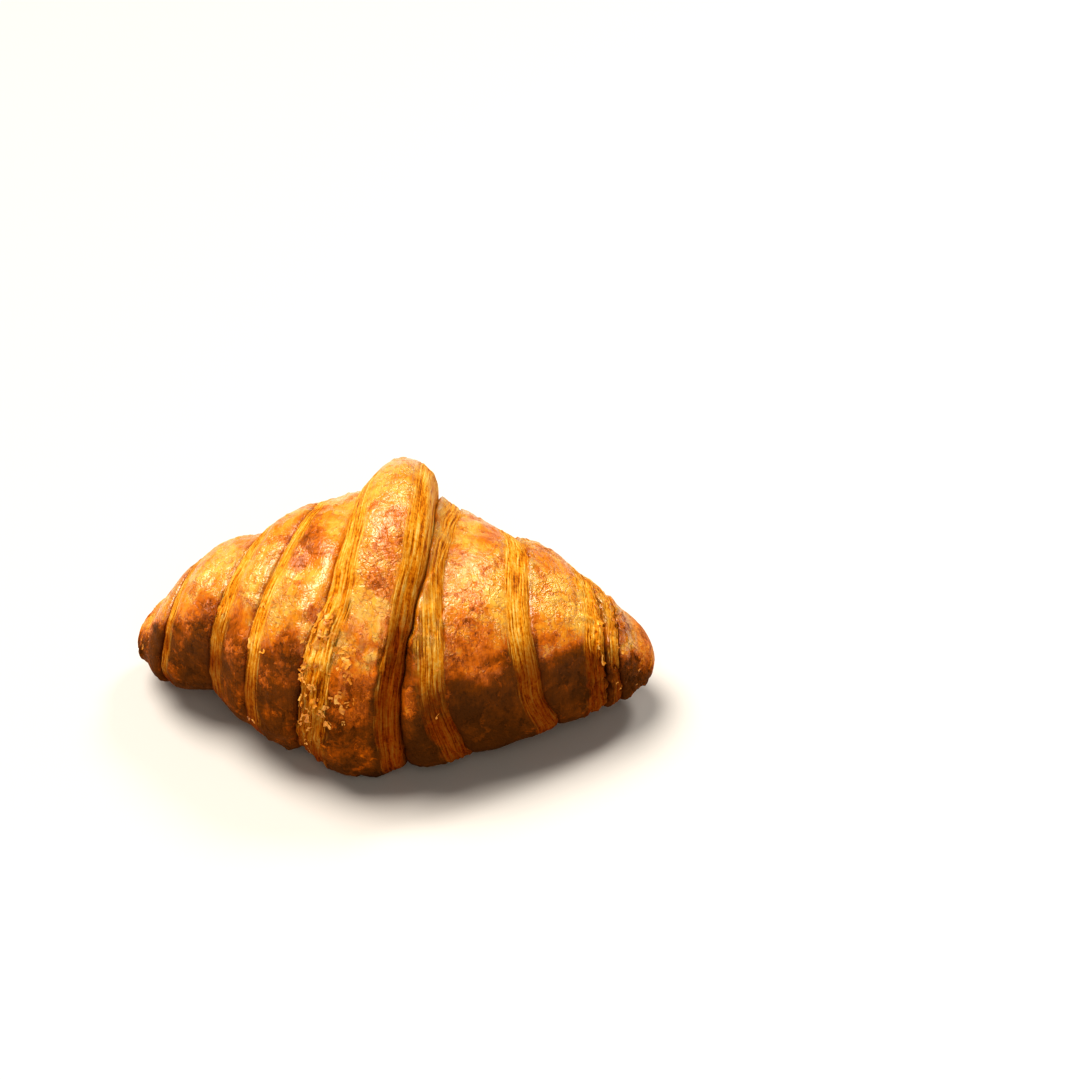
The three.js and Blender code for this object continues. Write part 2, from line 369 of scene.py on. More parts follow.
def arm(side, along, angle):
    """Everything about the crust on one arm, apart from the broad middle turn."""
    turns = unrolled(angle)
    reach = SIGN[side] * along
    places = [edge(side, k + turns) + 0 * along for k in range(TURNS[side] + 1)]
    k = sum((reach > place).astype(int) for place in places[:-1])
    outer = np.maximum(k, 1)
    stack = np.stack(places)
    behind = np.take_along_axis(stack, (outer - 1)[None], 0)[0]
    ahead = np.take_along_axis(stack, outer[None], 0)[0]
    across = ahead - behind
    rise = step[side](outer - 1 + turns)
    swell = quarter((reach - behind) / across / SWELL) ** 0.9
    drop = np.where(reach > ahead, 0, step[side](outer + turns))
    width = face[side](outer + turns)
    left_over = np.abs(ahead - reach)
    height = LEVEL - rise * (1 - swell) - fall(left_over, drop, width, across)
    return {
        "turn": k, "far": (outer + turns) * WOUND, "height": height,
        "reach": left_over, "width": np.minimum(width, across * 0.8),
        "lean": SIGN[side] * lean(left_over, drop),
        "crease": np.exp(-np.maximum(reach - behind, 0) / CREASE_FADE) * np.minimum(rise / 2, 1),
        "bare": np.minimum(drop / 2, 1), "rows": outer + (side == "right") * RIGHT_ROWS,
        "torn": torn[side](outer + turns) + 0 * along,
        "tear": ahead - edge(side, outer + turns, 0),
    }


sample = arm("left", np.array([[-30.0]]), 90)
print("30 mm out on the left arm, the crown is on turn", sample["turn"].item())

# %% The broad middle turn
def middle_turn(along, angle):
    """The same for the broad middle turn, which has a cut edge on both sides."""
    turns = unrolled(angle)
    ends = {side: edge(side, turns) - SIGN[side] * along for side in ARM}
    across = ends["left"] + ends["right"]
    swing = np.clip((angle - RIDGE_ANGLE) * 90 / RIDGE_SPREAD, -90, 90)
    dome = quarter(DOME * np.minimum(ends["left"], 2 * ends["right"]) / across)
    ridge = RIDGE * np.cos(np.radians(swing)) ** 2 * dome
    falls, leans = [], []
    for side in ("left", "right"):
        drop = step[side](turns) + 0 * along
        falls.append(fall(ends[side], drop, face[side](turns), across))
        leans.append(SIGN[side] * lean(ends[side], drop))
    widths = {side: np.minimum(face[side](turns), across * 0.45) for side in ARM}
    on_left = ends["left"] / widths["left"] < ends["right"] / widths["right"]
    return {
        "turn": 0 * along, "far": turns * WOUND + 0 * along,
        "height": LEVEL + ridge - np.maximum(*falls),
        "reach": np.where(on_left, ends["left"], ends["right"]),
        "width": np.where(on_left, widths["left"], widths["right"]),
        "lean": sum(leans), "crease": 0 * along, "bare": smooth(turns / 0.1) + 0 * along,
        "rows": np.where(on_left, 0, RIGHT_ROWS) + 0 * along,
        "torn": np.where(on_left, torn["left"](turns), torn["right"](turns)),
        "tear": np.where(on_left, *[edge(s, turns) - edge(s, turns, 0) for s in ARM]),
    }


sample = middle_turn(np.array([[-5.0]]), 90)
print("the middle turn's crown stands", round(sample["height"].item(), 1), "mm proud")

# %% [markdown]
# ## From heights to points
#
# Each place is now a distance from the axis. The lower half of the section is squarer
# than the upper half, because the belly sags on the baking sheet, and whatever would hang
# below the sheet is pressed flat.

# %% Spots on the crust
DIMPLES = [  # mm along, degrees round, depth, length and width in mm
    (-23, 62, 1.7, 4.6, 4.2), (-23.5, 50, -0.7, 1.6, 4), (-14, 24, 0.7, 6, 5), (20, 52, 0.6, 6, 5),
    (34, 15, 0.5, 5, 6), (-41, 40, 0.5, 5, 4), (0, 20, 0.8, 5, 4), (8, 62, 0.7, 6, 3),
]
CRINKLED = [  # mm along, degrees round, mm across: where the egg film is tightly wrinkled
    (-73, 40, 9), (-54, 78, 7), (-42, 74, 6), (-29, 48, 6), (-6, 52, 7), (-3, 92, 6), (20, 60, 7),
    (26, 88, 6), (36, 62, 8), (45, 70, 5), (57, 10, 8), (-50, 120, 8), (10, 130, 8), (34, 125, 8),
]
FLAKY = [  # the same, for places where thin plates of crust broke off the top sheet
    (-18, 36, 7), (-16, 20, 8), (-14, 4, 7), (-6, 24, 6), (-25, 30, 5), (3, 34, 5), (48, 20, 5),
    (50, 60, 4), (58, -10, 6), (-74, 20, 6), (-46, 44, 4),
]
SPOT_RADIUS = 36  # mm from the axis to the widest crust, which turns degrees into mm


def away(along, angle, place, around, radius=SPOT_RADIUS):
    """Distances in mm from a place on the crust: along the roll, and round it."""
    degrees = (angle - around + 180) % 360 - 180
    return along - place, np.radians(degrees) * radius


def spots(places, along, angle, size):
    """1 inside the listed spots, falling smoothly to 0 outside them."""
    inside = 0 * (along + angle)
    for place, around, reach_mm in places:
        beside, above = away(along, angle, place, around)
        off = np.hypot(beside / reach_mm, above * size / reach_mm)
        inside = np.maximum(inside, smooth(1.6 - off))
    return inside


print(len(DIMPLES), "dimples,", len(CRINKLED), "wrinkled spots,", len(FLAKY), "flaky spots")

# %% The crust
LUMP, LUMP_PITCH = 0.5, 23.0
LINE_HEIGHT = 0.22
SHEET_ROUNDING = 1.2  # mm over which the belly turns into its flat patch
ROUND_RADIUS = 34  # mm, the mean radius of the widest section, which turns degrees into mm
ROW_APART = 13.7  # moves the unevenness on from one turn to the next
TIP_FADE = 9  # mm before a tip over which wrinkles, browning and painted shade even out
EVENED = -0.33  # what "crinkled" comes to at the tips, where the film is drawn smooth


def relief(angle):
    """1 over most of the roll, and the share left by the baking sheet under the belly."""
    off = np.abs(angle - (IRONED_FROM + IRONED_TO) / 2) / (IRONED_TO - IRONED_FROM)
    return IRONED_LEFT + (1 - IRONED_LEFT) * smooth(2 * (off - 0.2))


def crust(along, angle):
    """Points of the crust in mm, and what the baker would say about each of them."""
    angle = angle + 0 * along
    parts = {side: arm(side, along, angle) for side in ARM}
    parts["middle"] = middle_turn(along, angle)
    turns = unrolled(angle)
    on_left = along < (edge("right", turns) - edge("left", turns)) / 2
    on = {k: np.where(on_left, parts["left"][k], parts["right"][k]) for k in parts["left"]}
    on = {k: np.where(on["turn"] == 0, parts["middle"][k], on[k]) for k in on}

    t = np.radians(angle)
    wide = half_width(along)
    size = wide / FULL_WIDTH
    n = np.where(np.sin(t) > 0, CROWN_SQUARENESS, BELLY_SQUARENESS)
    tall = np.where(np.sin(t) > 0, crown_height(along), belly(along) * wide)
    mean = ((np.abs(np.cos(t)) / wide) ** n + (np.abs(np.sin(t)) / tall) ** n) ** (-1 / n)
    seam = 360 - TONGUE_END
    round_mm = np.radians((angle + seam) % 360 - seam) * ROUND_RADIUS * size

    turn = 2 * math.pi / LUMP_PITCH
    lump = LUMP * (np.sin(turn * along + 2 * t) + np.sin(0.7 * turn * along - 3 * t + 1))
    cut = smooth((on["width"] - on["reach"]) / 4 + 0.5) * on["bare"]
    row = on["rows"] * ROW_APART
    line = sheets(on["reach"] - on["tear"], on["far"] + row, 31)
    # soft lumps some 8 mm across, and the wrinkles of the egg film
    uneven = 0.55 * rough(along / 7 + row, round_mm / 8, 41) * (1 - 0.6 * cut)
    wrinkle = 1 - np.abs(rough(along / 1.7 + row, round_mm / 3.6, 44, 2))
    crinkled = 0.5 * smooth(0.4 + 1.6 * grain(along / 8 + row, round_mm / 10, 46))
    crinkled = np.maximum(crinkled, spots(CRINKLED, along, angle, size))
    uneven = uneven + (0.08 + 0.22 * crinkled) * wrinkle * (1 - cut)
    # chips along torn edges
    chips = np.maximum(grain(on["reach"] / 1.0, on["far"] / 1.8 + row, 47), -0.2)
    near = smooth((on["width"] + 2 - on["reach"]) / 2)
    uneven = uneven + 1.1 * chips * smooth(3 * on["torn"] - 1) * near
    # blisters 2 mm across, in groups
    blister = np.maximum(grain(along / 1.9, round_mm / 2.3, 51) - 0.25, 0) * 0.7
    blister = blister * smooth(0.5 + 1.5 * grain(along / 9, round_mm / 9, 52)) * (1 - cut)
    # plates of crust, each at its own height
    flaky = spots(FLAKY, along, angle, size)
    plate = along / 1.7 + 0.8 * grain(along / 3, round_mm / 3, 55)
    plate = np.floor(plate), np.floor(round_mm / 2.3 + 0.8 * grain(along / 3, round_mm / 3, 56))
    uneven = uneven + 0.7 * flaky * grain(*plate, 57)
    hollow = 0
    for place, around, depth, long, wide_mm in DIMPLES:
        beside, above = away(along, angle, place, around)
        off = (beside / wide_mm) ** 2 + (above * size / long) ** 2
        hollow = hollow + depth * np.exp(-off) * (1 - 0.3 * off)

    detail = (LINE_HEIGHT * line * (0.2 + 0.8 * cut) + uneven + blister) * smooth(size * 3)
    side_arm = np.where(along < 0, ARM["left"], ARM["right"])
    cap = quarter((side_arm - np.abs(along)) / TIP_ROUNDING)
    height = (on["height"] + detail) * relief(angle) - hollow
    radius = (mean + height + lump * size) * cap
    sink = np.where(along < 0, TIP_SINK["left"], TIP_SINK["right"])
    power = np.where(along < 0, SINK_POWER["left"], SINK_POWER["right"])
    sink = sink * (np.abs(along) / side_arm) ** power
    bend = (along + on["lean"] * relief(angle) * cap) / BEND_RADIUS
    out = radius * np.cos(t)
    x = (BEND_RADIUS + out) * np.sin(bend)
    y = BEND_RADIUS * (1 - np.cos(bend)) - out * np.cos(bend)
    z = AXIS_HEIGHT - sink + radius * np.sin(t)
    pressed = (z + SHEET_ROUNDING) ** 2 / (4 * SHEET_ROUNDING)
    z = np.where(z > SHEET_ROUNDING, z, np.where(z < -SHEET_ROUNDING, 0, pressed))
    from_tip = smooth((side_arm - np.abs(along)) / TIP_FADE)
    crinkled = crinkled * from_tip + EVENED * (1 - from_tip)
    on |= {"line": line, "cut": cut, "around": round_mm, "crinkled": crinkled, "flaky": flaky,
           "from_tip": from_tip}
    return np.stack([x, y, z], -1), on


points, on = crust(along, angles[:, None])
tips = np.stack([crust(np.array([[SIGN[s] * ARM[s]]]), np.array([[0.0]]))[0][0, 0] for s in ARM])
print("crust from", points.min((0, 1)).round(1), "to", points.max((0, 1)).round(1), "mm")

# %% Move the ball's points onto the crust
place = np.empty_like(ball)
body = (ring > 0) & (ring <= RINGS)
place[body] = points[section[body], ring[body] - 1]
place[ring == 0], place[ring == RINGS + 1] = tips
node_low, node_high = [np.array(corner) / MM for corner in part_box("croissant")]
shift = (node_low + node_high) / 2 - (place.min(0) + place.max(0)) / 2
shift[2] = 0
mesh.vertices.foreach_set("co", ((place + shift) * MM).ravel())
mesh.update()
bpy.ops.object.mode_set(mode="EDIT")
bpy.ops.mesh.select_all(action="SELECT")
bpy.ops.mesh.normals_make_consistent(inside=False)
bpy.ops.mesh.select_all(action="DESELECT")
bpy.ops.object.mode_set(mode="OBJECT")
bpy.ops.object.shade_smooth()
print("the crust has", len(mesh.polygons), "faces and sits at", shift.round(2), "mm")

# %% [markdown]
# ## What the oven did, with some painted shade, written on the crust
#
# The colours need to know where the skin was glazed, where a cut edge lies bare, how deep
# a crease is, and how long a place was in the heat together with the painted shade of its
# downward side. These are saved with each point as named numbers from 0 to 1, and the
# material reads them by name. Only `crinkled` falls below 0, at the two tips, where it
# smooths the film's wrinkles away. A UV map called `turns` holds the distance from a
# turn's edge and the distance along it, in centimetres, so that fine lines can run along
# the edges.

# %% Numbers on the points
def save(name, values, ends):
    """Keep one number per point of the crust under a name."""
    whole = np.empty(len(ball), np.float32)
    whole[body] = np.broadcast_to(values, along.shape)[section[body], ring[body] - 1]
    whole[~body] = ends
    mesh.attributes.new(name, "FLOAT", "POINT").data.foreach_set("value", whole)
    print(f"{name}: {whole.min():.2f} to {whole.max():.2f}, mean {whole.mean():.2f}")


BROWNED_AND_SHADED_FROM = curve([  # mm along, degrees up from the full front where the skin turns darker, partly browned and partly painted shade of the lower side
    (-78, 4), (-71, 24), (-64, 44), (-52, 43), (-40, 32), (-25, 25), (-8, 15), (6, 16), (20, 26),
    (36, 36), (47, 30), (55, 12), (62, 2),
])
TOASTED_AND_SHADED = [  # mm along, degrees round, mm across, how much browner; the spots at 6 degrees and below add or take away painted shade low on the front
    (-25, 70, 6, 0.4), (-31, 86, 7, 0.16), (-44, 96, 7, 0.08), (0, 30, 7, 0.1), (-8, 62, 5, 0.08),
    (23, 96, 7, 0.14), (17, 40, 5, 0.12), (30, 42, 5, 0.14), (44, 92, 5, 0.12), (60, 60, 6, 0.16),
    (-28, -4, 10, -0.1), (-40, -10, 6, -0.05), (7, -8, 8, 0.2), (31, -4, 5, 0.1),
    (16, -26, 12, 0.22), (2, -30, 9, 0.12), (8, 6, 7, 0.2),
]
upward = np.degrees(np.arcsin(np.sin(np.radians(angles))))[:, None]
patches = rough(along / 11, on["around"] / 12, 61)
drift = 11 * rough(along / 8 + 3, on["around"] / 7, 63)
# darker low on the roll: partly real browning, partly painted shade where the sides face away from
# the light
browned_and_shaded = 1 - smooth((upward + drift - BROWNED_AND_SHADED_FROM(along)) / 42 + 0.5)
# painted shade on the faces that look down, darkest on the bare sheets there
shaded = smooth((-upward - 2) / 30)
# painted shade on the steep right-hand face of the middle turn, which faces away from the light
right_face_shade = on["cut"] * (on["turn"] == 0) * (on["rows"] == RIGHT_ROWS)
right_face_shade = right_face_shade * smooth((95 - upward) / 60)
# the wrinkled spots are painted paler, a painted highlight where the film catches the light
bake_and_shade = 0.16 + 0.62 * browned_and_shaded * (1 + 0.12 * shaded) + 0.1 * patches - 0.08 * on["crinkled"]
bake_and_shade = bake_and_shade + 0.5 * right_face_shade + 0.25 * shaded * on["cut"]
for place, around, reach_mm, amount in TOASTED_AND_SHADED:
    beside, above = away(along, angles[:, None], place, around, ROUND_RADIUS)
    bake_and_shade = bake_and_shade + amount * smooth(1.5 - np.hypot(beside / reach_mm, above / reach_mm))
bake_and_shade = 0.5 + (bake_and_shade - 0.5) * (0.3 + 0.7 * on["from_tip"])
save("bare_sheets", on["cut"], 0)
save("sheet_line", 0.5 + 0.5 * on["line"], 0.5)
save("crease", np.clip(on["crease"], 0, 1), 0)
save("bake_and_shade", np.clip(bake_and_shade, 0, 1), 0.5)
save("crinkled", on["crinkled"], EVENED)
save("flaky", on["flaky"], 0.5)
tip_start = np.where(along < 0, 64, 51)
washed = smooth((upward + 15) / 60) * (1 - 0.7 * smooth((np.abs(along) - tip_start) / 6))
save("egg_wash", washed, 0.2)

# %% The UV map that follows the turns
MAP_UNIT = 10  # mm in one unit of the map
TURN_APART, ARM_APART = 31, 170  # mm that keep the turns and the arms apart on the map
corner_point = np.empty(len(mesh.loops), np.int64)
mesh.loops.foreach_get("vertex_index", corner_point)
first = np.empty(len(mesh.polygons), np.int64)
count = np.empty(len(mesh.polygons), np.int64)
mesh.polygons.foreach_get("loop_start", first)
mesh.polygons.foreach_get("loop_total", count)
face_of = np.repeat(np.arange(len(first)), count)
column = np.clip(ring[corner_point] - 1, 0, RINGS - 1)
corner_along = along[section[corner_point], column]
corner_turns = unrolled(angles[section[corner_point]])
anchor = corner_turns[first][face_of]
corner_turns = anchor + (corner_turns - anchor + 0.5) % 1 - 0.5
centre_along = np.add.reduceat(corner_along, first) / count
centre_turns = np.add.reduceat(corner_turns, first) / count
uv = np.zeros((len(corner_point), 2))
middle_place = (edge("right", centre_turns) - edge("left", centre_turns)) / 2
for side in ARM:
    reach = SIGN[side] * centre_along
    mine = (centre_along < middle_place) == (side == "left")
    k = sum((reach > edge(side, m + centre_turns)).astype(int) for m in range(TURNS[side]))
    on_side = mine[face_of]
    turn = k[face_of] + corner_turns
    across = edge(side, turn, 0) - SIGN[side] * corner_along
    across = across + k[face_of] * TURN_APART + (side == "right") * ARM_APART
    uv[on_side] = np.stack([across, turn * WOUND], -1)[on_side] / MAP_UNIT
layer = mesh.uv_layers[0]
layer.name = "turns"
layer.data.foreach_set("uv", uv.ravel())
print("the map runs from", uv.min(0).round(1), "to", uv.max(0).round(1), "cm")

# %% [markdown]
# ## The crust's finish
#
# The real material is laminated butter dough, brushed with beaten egg and baked. Three
# things give it its look:
#
# - the glazed skin, browned sugar and egg from pale gold to chestnut in soft patches, with
#   a tight, wrinkled, half-glossy film that breaks every highlight up
# - the bare cut edges, dry and matt, where pale gold sheets and darker gaps alternate
# - the creases, darkened by painted shade and by the caramelised butter they hold

# %% Colours and nodes
def linear(hex_colour, alpha=1.0):
    """An sRGB hex colour as the linear numbers a shader needs."""
    parts = [int(hex_colour[i : i + 2], 16) / 255 for i in (1, 3, 5)]
    parts = [p / 12.92 if p <= 0.04045 else ((p + 0.055) / 1.055) ** 2.4 for p in parts]
    return (*parts, alpha)


def add(tree, kind, *values, inputs=None, **settings):
    """Add one node, with its settings and its inputs, in order or by name.

    An input can be a number, a colour, a socket, or a node, which gives its first output.
    """
    made = tree.nodes.new("ShaderNode" + kind)
    for name, value in settings.items():
        setattr(made, name, value)
    for name, value in [*enumerate(values), *(inputs or {}).items()]:
        if isinstance(value, bpy.types.Node):
            value = value.outputs[0]
        if isinstance(value, bpy.types.NodeSocket):
            tree.links.new(value, made.inputs[name])
        else:
            made.inputs[name].default_value = value
    return made


def per_mm(spacing):
    """A texture scale, per metre, for features a given number of millimetres apart."""
    return 1 / (spacing * MM)


def stops(made, colours):
    """Set a colour ramp's stops from (place, hex) pairs."""
    ramp = made.color_ramp
    while len(ramp.elements) < len(colours):
        ramp.elements.new(0.5)
    for element, (where, colour) in zip(ramp.elements, colours):
        element.position = where
        element.color = linear(colour)
    return made.outputs["Color"]


def stirred(tree, total, patterns):
    """Move a number up and down by patterns round 0.5, each as strongly as it says."""
    for pattern, strength in patterns:
        off = add(tree, "Math", pattern, 0.5, operation="SUBTRACT")
        off = add(tree, "Math", off, strength, operation="MULTIPLY")
        total = add(tree, "Math", total, off, operation="ADD")
    return total


print("pale gold in linear light:", [round(c, 3) for c in linear("#F0B24A")])

# %% The crust's material: what was saved on the points
crust_finish = bpy.data.materials.new("egg_washed_laminated_crust")
crust_finish.use_nodes = True
tree = crust_finish.node_tree
tree.nodes.clear()
SAVED = ("bare_sheets", "sheet_line", "crease", "bake_and_shade", "crinkled", "flaky", "egg_wash")
bare, sheet_line, crease, bake_and_shade_level, tight, flaky, egg_wash = [
    add(tree, "Attribute", attribute_name=name).outputs["Fac"] for name in SAVED
]
spot = add(tree, "TexCoord").outputs["Object"]
along_edge = add(tree, "UVMap", uv_map="turns")
print("read from the points:", SAVED)

# %% The crust's material: patterns of the skin
# soft patches where the oven was hotter, and freckles of browned sugar
patch = add(tree, "TexNoise", inputs={
    "Vector": spot, "Scale": per_mm(7.0), "Detail": 7.0, "Roughness": 0.6, "Distortion": 0.5})
freckle = add(tree, "TexNoise", inputs={
    "Vector": spot, "Scale": per_mm(0.8), "Detail": 3.0, "Roughness": 0.6})

# the film of egg cracks into scales some 2.6 mm and 1.1 mm across, each of its own tone
sway = add(tree, "TexNoise", inputs={"Vector": spot, "Scale": per_mm(2.4), "Detail": 3.0})
sway = add(tree, "VectorMath", sway.outputs["Color"], (2.6 * MM,) * 3, spot,
           operation="MULTIPLY_ADD")
big, small = [
    add(tree, "TexVoronoi", inputs={"Vector": sway, "Scale": per_mm(across)})
    for across in (2.6, 1.1)
]
big_scale, big_dome = big.outputs["Color"], big.outputs["Distance"]
small_scale, small_dome = small.outputs["Color"], small.outputs["Distance"]

# crisp-edged spots where the film lifted, some 4 mm apart, and where it scorched, some 5 mm
CRISP = 0.05  # the width of a spot's edge, as a share of the noise
islands = []
for spacing, fewer in ((4.2, 0.56), (5.5, 0.57)):  # a higher threshold leaves fewer of them
    field = add(tree, "TexNoise", inputs={
        "Vector": sway, "Scale": per_mm(spacing), "Detail": 5.0, "Roughness": 0.68,
        "Distortion": 0.3})
    islands.append(add(tree, "MapRange", interpolation_type="SMOOTHSTEP", inputs={
        "Value": field, "From Min": fewer, "From Max": fewer + CRISP}))
lifted, scorched = islands
print("the skin's patterns take", len(tree.nodes), "nodes")

# %% The crust's material: patterns that run along the edges
# bare sheets: fine lines 0.34 mm apart that run some 9 mm along the edge before they break
stretched = add(tree, "Mapping", inputs={
    "Vector": along_edge, "Scale": (MAP_UNIT / 0.34, MAP_UNIT / 9, 1)})
fine = add(tree, "TexNoise", noise_dimensions="2D", inputs={
    "Vector": stretched, "Scale": 1.0, "Detail": 4.0, "Roughness": 0.65, "Distortion": 0.32})

# tight wrinkles in the film, 2.1 mm apart and 4.2 mm long, swirled so that they don't line up
pulled = add(tree, "Mapping", inputs={
    "Vector": along_edge, "Scale": (MAP_UNIT / 2.1, MAP_UNIT / 4.2, 1)})
swirl = add(tree, "TexNoise", inputs={"Vector": spot, "Scale": per_mm(2.8), "Detail": 3.0})
pulled = add(tree, "VectorMath", swirl.outputs["Color"], (3.4,) * 3, pulled,
             operation="MULTIPLY_ADD")
cracks = add(tree, "TexVoronoi", feature="DISTANCE_TO_EDGE", voronoi_dimensions="2D",
             inputs={"Vector": pulled, "Scale": 1.0})
CRACK_REACH = 0.26  # how far a wrinkle's slope reaches, as a share of its spacing
cracks = add(tree, "Math", cracks, CRACK_REACH, operation="MINIMUM")
cracks = add(tree, "Math", cracks, 3.85, operation="MULTIPLY")  # back to 0 to 1
print("with those along the edges:", len(tree.nodes), "nodes")

# %% The crust's material: browned skin from pale gold to chestnut, with painted shade low down
tone = stirred(tree, bake_and_shade_level, (
    (patch, 1.05), (big_scale, 0.16), (small_scale, 0.1), (freckle, 0.22), (fine, 0.22)))
for part, strength in ((big_scale, -0.4), (small_scale, -0.2)):  # plates, where it is flaky
    off = add(tree, "Math", part, 0.5, operation="SUBTRACT")
    off = add(tree, "Math", off, flaky, operation="MULTIPLY")
    off = add(tree, "Math", off, strength, operation="MULTIPLY")
    tone = add(tree, "Math", tone, off, operation="ADD")
for part, strength, way in ((lifted, 0.17, "SUBTRACT"), (scorched, 0.14, "ADD")):
    off = add(tree, "Math", part, strength, operation="MULTIPLY")
    tone = add(tree, "Math", tone, off, operation=way)
# painted shade in the furrows of the wrinkles, deeper where the film is tight
furrow_shade = add(tree, "Math", 1.0, cracks, operation="SUBTRACT")
depth = add(tree, "Math", tight, 0.3, operation="ADD")
furrow_shade = add(tree, "Math", furrow_shade, depth, operation="MULTIPLY")
furrow_shade = add(tree, "Math", furrow_shade, 0.07, operation="MULTIPLY")
tone = add(tree, "Math", tone, furrow_shade, operation="ADD")
skin = stops(add(tree, "ValToRGB", tone), [
    (0.0, "#F4B644"), (0.2, "#E6900C"), (0.4, "#CE6C06"), (0.56, "#9A4E06"),
    (0.72, "#703C08"), (1.0, "#502C08"),
])
print("with the skin's colour:", len(tree.nodes), "nodes")

# %% The crust's material: bare sheets and creases
# the glaze ends raggedly over the sheets
border = stirred(tree, bare, ((fine, 0.9), (patch, 0.9)))
open_edge = add(tree, "MapRange", interpolation_type="SMOOTHSTEP", inputs={
    "Value": border, "From Min": 0.3, "From Max": 0.72})

# pale gold sheets and browner gaps, which darken together low on the roll, partly as browning and
# partly as painted shade
sheet = stirred(tree, 0.5, ((sheet_line, 0.5), (fine, 1.8), (freckle, 0.9), (patch, -1.0)))
layers = stops(add(tree, "ValToRGB", sheet), [
    (0.0, "#864004"), (0.2, "#C06806"), (0.4, "#E88F10"), (0.62, "#F9B236"),
    (1.0, "#FFDA80"),
])
darker = add(tree, "MapRange", inputs={"Value": bake_and_shade_level, "From Min": 0.34, "From Max": 0.85})
darker = add(tree, "Math", darker, 0.95, operation="MULTIPLY")
shaded_toasted_layers = add(tree, "Mix", data_type="RGBA", blend_type="MULTIPLY",
              inputs={0: 1.0, 6: layers, 7: linear("#8C622A")}).outputs[2]
layers = add(tree, "Mix", data_type="RGBA", inputs={0: darker, 6: layers, 7: shaded_toasted_layers}).outputs[2]
colour = add(tree, "Mix", data_type="RGBA", inputs={0: open_edge, 6: skin, 7: layers}).outputs[2]
# painted shade in the creases, with the darker caramelised butter that gathers there
painted_crease_shade = add(tree, "Math", crease, 0.65, operation="MULTIPLY")
colour = add(tree, "Mix", data_type="RGBA",
             inputs={0: painted_crease_shade, 6: colour, 7: linear("#4E2204")}).outputs[2]
print("with the sheets' colour:", len(tree.nodes), "nodes")

# %% The crust's material: relief of the egg film
# a ripple 1.5 mm apart with the wrinkles, the scales' rims, and a thread for every sheet
ripple = add(tree, "TexNoise", inputs={"Vector": sway, "Scale": per_mm(1.5), "Detail": 2.0})
film = add(tree, "Math", cracks, 0.4, operation="MULTIPLY")
ripple = add(tree, "Math", ripple, 0.6, operation="MULTIPLY")
film = add(tree, "Math", film, ripple, operation="ADD")
rims = add(tree, "Math", small_dome, 0.5, operation="MULTIPLY")
rims = add(tree, "Math", big_dome, rims, operation="ADD")
rims = add(tree, "Math", rims, 0.15, operation="MULTIPLY")
film = add(tree, "Math", film, rims, operation="SUBTRACT")
height = add(tree, "Math", tight, 0.85, operation="MULTIPLY")
height = add(tree, "Math", 0.35, height, operation="ADD")
film = add(tree, "Math", film, height, operation="MULTIPLY")
edges = add(tree, "Math", scorched, lifted, operation="SUBTRACT")
edges = add(tree, "Math", edges, 0.35, operation="MULTIPLY")
film = add(tree, "Math", film, edges, operation="ADD")
plates = add(tree, "Math", small_scale, 0.6, operation="MULTIPLY")
plates = add(tree, "Math", big_scale, plates, operation="ADD")
height = add(tree, "Math", flaky, 2.4, operation="MULTIPLY")
plates = add(tree, "Math", plates, height, operation="MULTIPLY")
film = add(tree, "Math", film, plates, operation="ADD")
glazed = add(tree, "Math", 1.0, open_edge, operation="SUBTRACT")
film = add(tree, "Math", film, glazed, operation="MULTIPLY")
threads = add(tree, "Math", open_edge, 0.8, operation="MULTIPLY")
threads = add(tree, "Math", threads, 0.25, operation="ADD")
threads = add(tree, "Math", fine, threads, operation="MULTIPLY")
film = add(tree, "Math", film, threads, operation="ADD")
grit = add(tree, "Math", freckle, 0.25, operation="MULTIPLY")
film = add(tree, "Math", film, grit, operation="ADD")
bump, glassy = [
    add(tree, "Bump", inputs={"Strength": 1.0, "Distance": deep * MM, "Height": film})
    for deep in (0.5, 0.27)
]
print("with the relief:", len(tree.nodes), "nodes")

# %% The crust's material: gloss
# Under the glaze the crust is dry and rough. The glaze is thick where the skin stayed pale,
# thin where it browned, and missing on the bare sheets. Its IOR is more than egg's 1.5, so
# that the broken glints stay as bright as on the real film.
gloss = add(tree, "Math", bake_and_shade_level, 0.4, operation="MULTIPLY")
gloss = add(tree, "Math", 0.34, gloss, operation="ADD")
dry_edge = add(tree, "Math", open_edge, 0.1, operation="MULTIPLY")
gloss = add(tree, "Math", gloss, dry_edge, operation="ADD")
glaze = add(tree, "MapRange", inputs={
    "Value": tone, "From Min": 0.2, "From Max": 0.6, "To Min": 1.0, "To Max": 0.1})
glaze = add(tree, "Math", glaze, egg_wash, operation="MULTIPLY")
bared = add(tree, "Math", open_edge, 0.92, operation="MULTIPLY")
bared = add(tree, "Math", 1.0, bared, operation="SUBTRACT")
glaze = add(tree, "Math", glaze, bared, operation="MULTIPLY")
surface = add(tree, "BsdfPrincipled", inputs={
    "Base Color": colour, "Roughness": gloss, "IOR": 1.33, "Normal": bump,
    "Specular IOR Level": 0.04,
    "Coat Weight": glaze, "Coat Roughness": 0.25, "Coat IOR": 1.8, "Coat Normal": glassy,
})
add(tree, "OutputMaterial", surface)
mesh.materials.clear()
mesh.materials.append(crust_finish)
print(crust_finish.name, "has", len(tree.nodes), "nodes")

# %% [markdown]
# ## Loose flakes
#
# Where the cut edge tore, crisp shards of pastry a few millimetres long curl off the crust
# and catch the light. One shard is modelled from a small grid: its points are jostled, it
# gets a curl, and a wall as thin as one sheet of dough. Then it is copied, and each copy is
# sized, turned and half sunk into the crust where the real ones sit. All of them are joined
# into one piece, because they are baked onto the roll.

